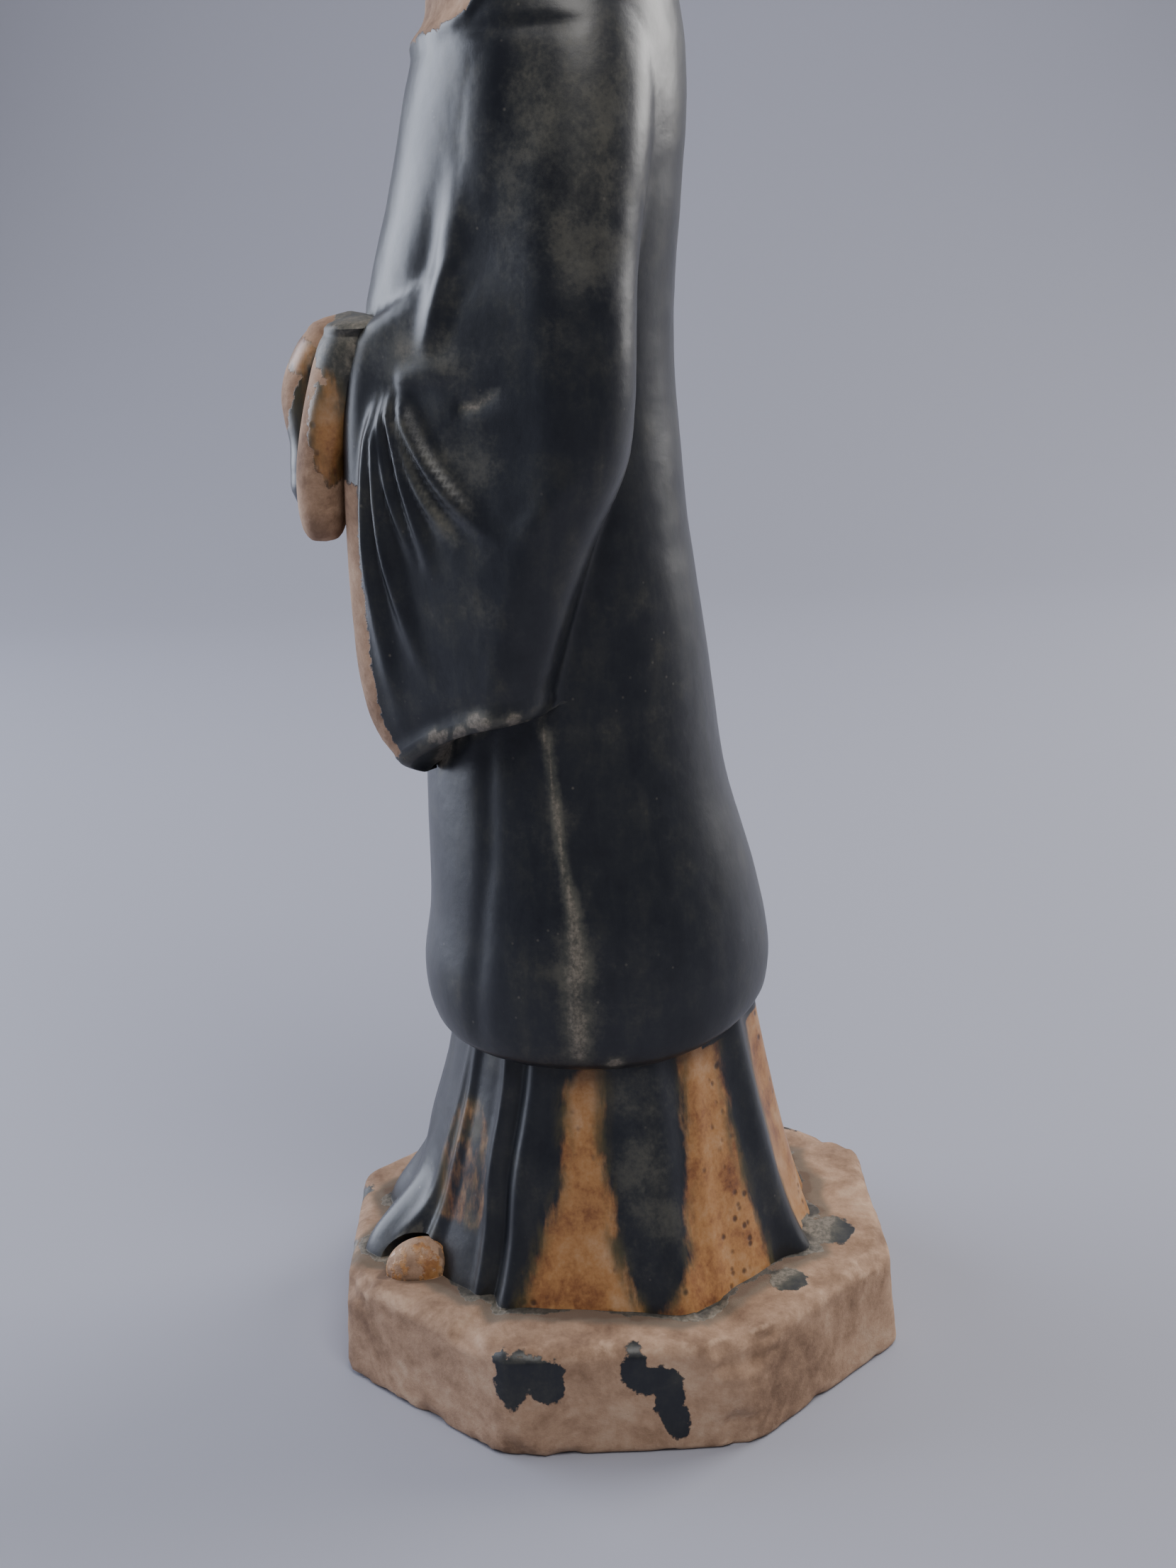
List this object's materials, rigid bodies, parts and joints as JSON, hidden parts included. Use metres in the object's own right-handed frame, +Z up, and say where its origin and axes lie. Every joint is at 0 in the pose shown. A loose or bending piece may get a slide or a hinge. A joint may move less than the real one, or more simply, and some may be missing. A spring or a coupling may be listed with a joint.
{
  "type": "tomb attendant figure",
  "caption": "Robed tomb attendant standing on an octagonal base, hands joined under long sleeves, in dark green and amber lead glaze.",
  "frame": {"origin": "centre of the underside of the octagonal base", "axes": "+Z up through the figure, the figure faces -Y, its left side is +X"},
  "size_m": [0.078, 0.078, 0.237],
  "materials": {
    "glaze": "glossy dark green lead glaze with amber stripes, bare pinkish clay on the base, face and cuffs"
  },
  "bodies": {
    "root": {"tomb_attendant": "glaze"}
  },
  "joints": []
}
